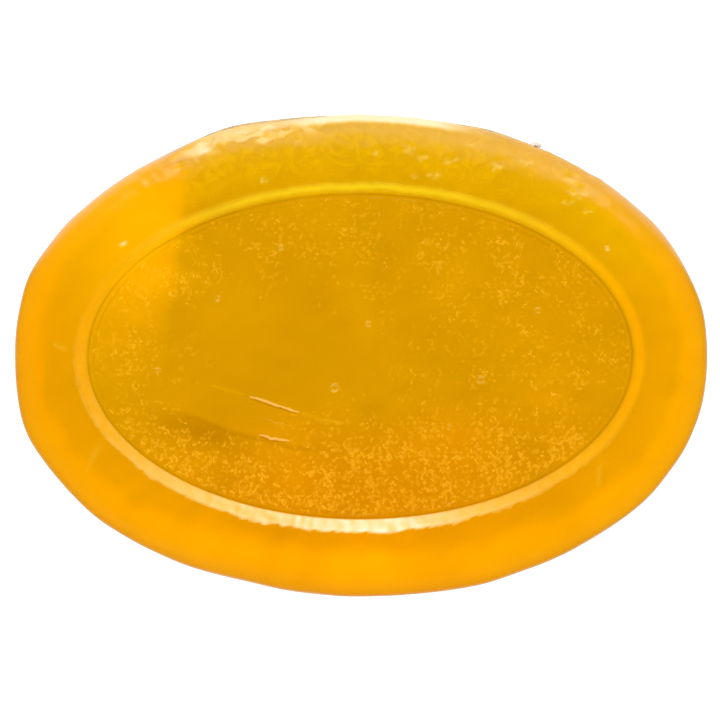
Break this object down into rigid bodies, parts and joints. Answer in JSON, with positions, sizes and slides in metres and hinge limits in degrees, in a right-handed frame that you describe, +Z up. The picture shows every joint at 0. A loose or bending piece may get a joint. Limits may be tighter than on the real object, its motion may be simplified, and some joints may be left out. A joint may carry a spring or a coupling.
{
  "type": "rosin cake",
  "caption": "Oval cake of translucent amber gum rosin with a rounded rim and a shallow sunken field on its upper face that bow hair is drawn over.",
  "frame": {"origin": "centre of the flat underside, on the surface that the cake rests on", "axes": "+Z up, out of the sunken working face; +X along the long axis; +Y across, towards the side with the crumb"},
  "size_m": [0.06, 0.0418, 0.0125],
  "materials": {
    "cast_rosin": "cast, glossy, slightly clouded by handling",
    "rosin_crumb": "freshly broken, glassy"
  },
  "bodies": {
    "root": {"rosin_cake": "cast_rosin", "edge_crumb": "rosin_crumb"}
  },
  "joints": []
}
